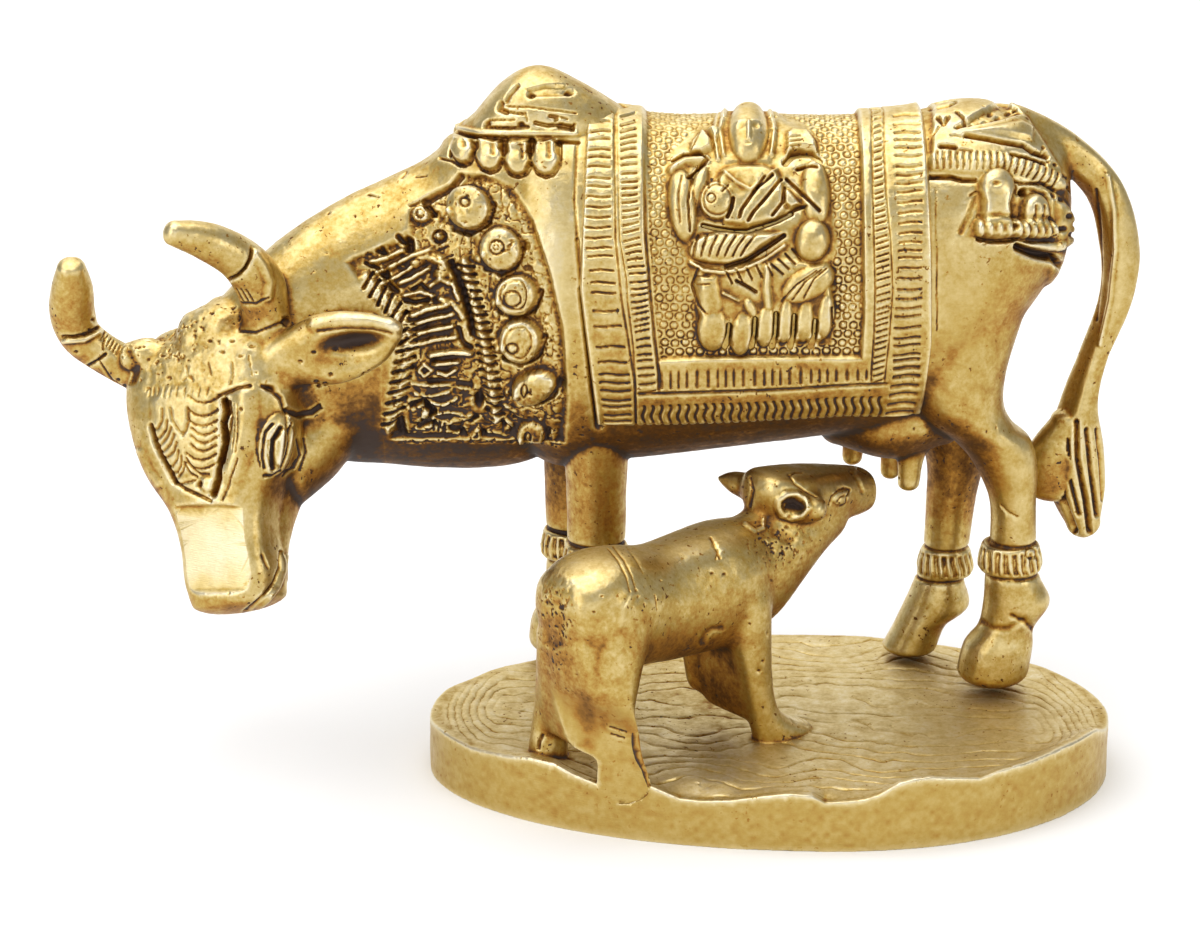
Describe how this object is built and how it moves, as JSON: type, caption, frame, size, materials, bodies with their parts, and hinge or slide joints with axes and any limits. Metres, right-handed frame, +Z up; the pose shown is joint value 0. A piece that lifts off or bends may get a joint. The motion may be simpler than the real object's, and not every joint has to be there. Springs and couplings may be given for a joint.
{
  "type": "cow statue",
  "caption": "Cast brass cow in a saddle cloth and harness, head turned to the side, with a calf suckling under it, standing on an oval base.",
  "frame": {"origin": "middle of the base's underside", "axes": "the cow walks along -X and turns its face towards -Y, +Z up"},
  "size_m": [0.1832, 0.0772, 0.1172],
  "materials": {
    "brass": "cast, filed and polished on the high places, dark in the grooves"
  },
  "bodies": {
    "root": {"cow": "brass", "base_with_calf": "brass"}
  },
  "joints": []
}
